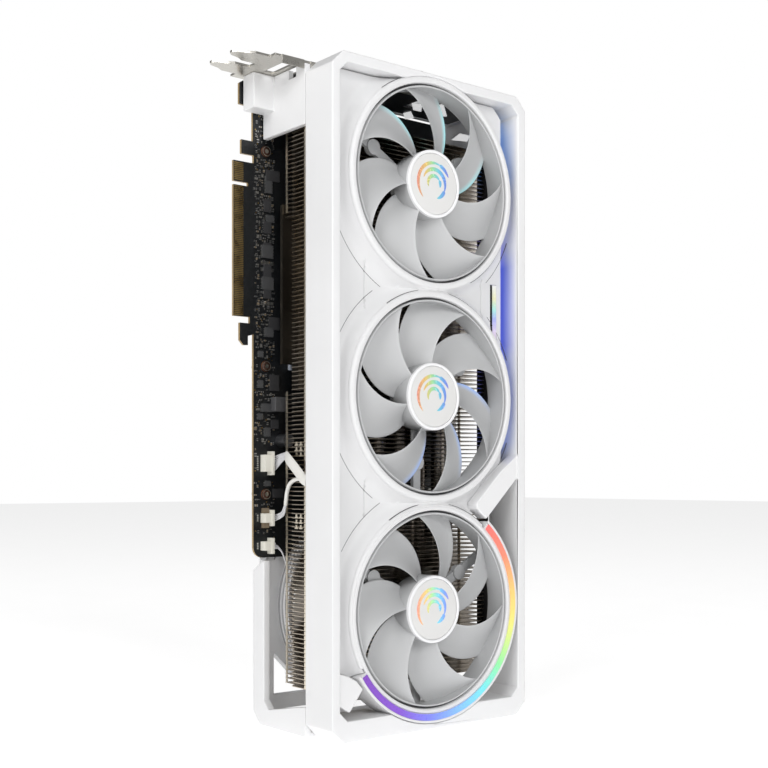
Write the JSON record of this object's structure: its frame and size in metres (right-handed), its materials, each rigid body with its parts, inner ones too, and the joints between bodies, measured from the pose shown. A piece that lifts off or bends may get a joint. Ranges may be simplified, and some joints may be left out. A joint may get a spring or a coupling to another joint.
{
  "type": "graphics card",
  "caption": "White graphics card with counter-rotating front fans, a rear fan at the tail, a finned cooler, a light ring and a two-slot bracket.",
  "frame": {"origin": "centre of the tail end's footprint, on the flat tail plate", "axes": "+Z from the tail end to the bracket end, front fans face -Y, backplate faces +Y, edge connector on -X, power socket on +X"},
  "size_m": [0.1772, 0.076, 0.369],
  "materials": {
    "white_frame": "satin white paint",
    "white_shroud": "fine matte moulding",
    "fan_plastic": "fine matte moulding",
    "cap_face": "satin disc with an iridescent mark",
    "magnet": "sintered",
    "shaft_steel": "ground",
    "winding_copper": "enamelled windings on laminations",
    "bearing_bronze": "sintered bronze",
    "light_diffuser": "frosted, lit from behind",
    "board": "black solder mask",
    "gold_contact": "gold plated",
    "chip_black": "epoxy moulding",
    "package": "laminate substrate",
    "silicon": "polished die",
    "capacitor_can": "sleeved can",
    "pad": "soft pad",
    "nickel": "warm nickel plating",
    "steel": "nickel-plated sheet",
    "white_plastic": "nylon",
    "lead_sleeve": "white sleeve"
  },
  "bodies": {
    "card": {"fan_1_motor_base": "fan_plastic", "fan_2_motor_base": "fan_plastic", "fan_3_motor_base": "fan_plastic", "fan_4_motor_base": "fan_plastic", "fan_stators": "winding_copper", "fan_bearings": "bearing_bronze", "front_frame": "white_frame", "front_shroud_bracket_end": "white_shroud", "front_shroud_middle": "white_shroud", "front_shroud_tail": "white_shroud", "bracket_end_cover": "white_frame", "tail_frame": "white_frame", "socket_side_rail": "white_frame", "rear_fan_shroud": "white_shroud", "backplate": "white_frame", "ring_light_housing": "white_shroud", "ring_light": "light_diffuser", "channel_light": "light_diffuser", "badge_strip": "light_diffuser", "circuit_board": "board", "edge_contacts": "gold_contact", "gpu_package": "package", "gpu_die": "silicon", "memory_chips": "chip_black", "power_stages": "chip_black", "chokes": "chip_black", "capacitors": "capacitor_can", "controller_chips": "chip_black", "thermal_pads": "pad", "cold_plate": "nickel", "heat_pipes": "nickel", "fin_stack": "nickel", "retention_bracket": "steel", "board_standoffs": "steel", "board_screws": "steel", "fan_screws": "steel", "io_bracket": "steel", "display_sockets": "steel", "power_socket": "chip_black", "switch_body": "chip_black", "fan_headers": "white_plastic", "fan_plugs": "white_plastic", "fan_leads": "lead_sleeve"},
    "fan_1": {"fan_1_rotor": "fan_plastic", "fan_1_cap": "cap_face", "fan_1_magnet": "magnet", "fan_1_shaft": "shaft_steel"},
    "fan_2": {"fan_2_rotor": "fan_plastic", "fan_2_cap": "cap_face", "fan_2_magnet": "magnet", "fan_2_shaft": "shaft_steel"},
    "fan_3": {"fan_3_rotor": "fan_plastic", "fan_3_cap": "cap_face", "fan_3_magnet": "magnet", "fan_3_shaft": "shaft_steel"},
    "fan_4": {"fan_4_rotor": "fan_plastic", "fan_4_cap": "cap_face", "fan_4_magnet": "magnet", "fan_4_shaft": "shaft_steel"},
    "switch": {"switch_lever": "white_plastic"}
  },
  "joints": [
    {"name": "fan_1_spin", "type": "hinge", "parent": "card", "child": "fan_1", "pos_m": [0.001, -0.029, 0.2984], "axis": [0, -1, 0], "continuous": true},
    {"name": "fan_2_spin", "type": "hinge", "parent": "card", "child": "fan_2", "pos_m": [0.001, -0.029, 0.1817], "axis": [0, -1, 0], "continuous": true},
    {"name": "fan_3_spin", "type": "hinge", "parent": "card", "child": "fan_3", "pos_m": [0.001, -0.029, 0.065], "axis": [0, -1, 0], "continuous": true},
    {"name": "fan_4_spin", "type": "hinge", "parent": "card", "child": "fan_4", "pos_m": [0.001, 0.0292, 0.065], "axis": [0, 1, 0], "continuous": true},
    {"name": "switch_slide", "type": "slide", "parent": "card", "child": "switch", "axis": [0, 0, 1], "range_m": [0, 0.002]}
  ]
}
